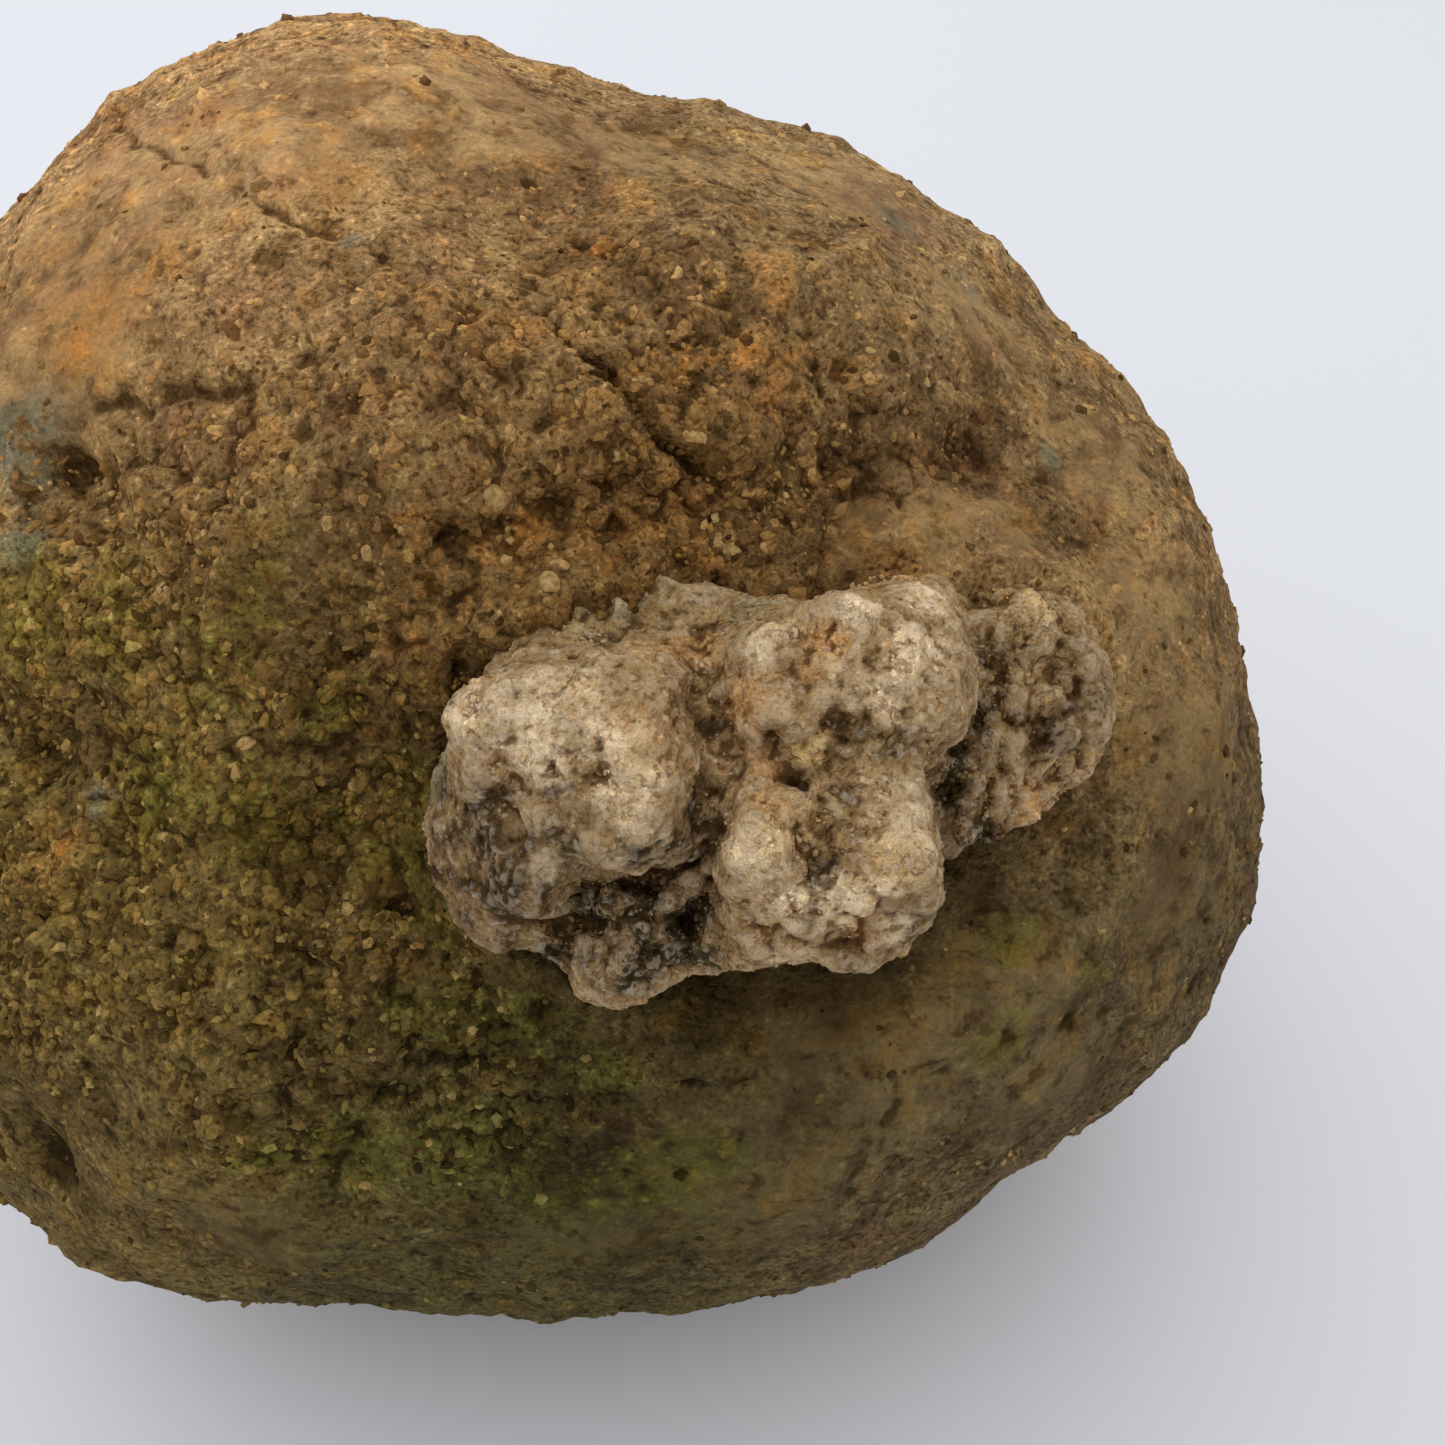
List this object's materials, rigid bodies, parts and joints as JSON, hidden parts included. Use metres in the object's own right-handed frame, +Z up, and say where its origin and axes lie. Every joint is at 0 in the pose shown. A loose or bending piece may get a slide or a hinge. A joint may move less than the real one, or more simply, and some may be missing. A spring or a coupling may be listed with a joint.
{
  "type": "geode",
  "caption": "Rounded unopened geode of rough brown volcanic rock, with a knobbly quartz outgrowth on its sloping face, resting on a small flat.",
  "frame": {"origin": "middle of the whole stone's footprint (its bounding box), on the surface it rests on", "axes": "+Z up out of the surface it rests on; +X along the stone's longest way, to the right as seen from the front; the front is -Y, and the broad face with the quartz leans back 45 degrees, so it looks towards -Y and +Z"},
  "size_m": [0.1478, 0.1242, 0.1235],
  "materials": {
    "host_rock": "rough weathered volcanic rock, matte, brown with orange and olive stains",
    "quartz": "rough granular quartz, slightly waxy, cream to pinkish tan"
  },
  "bodies": {
    "root": {"host_rock": "host_rock", "quartz_knob": "quartz"}
  },
  "joints": []
}
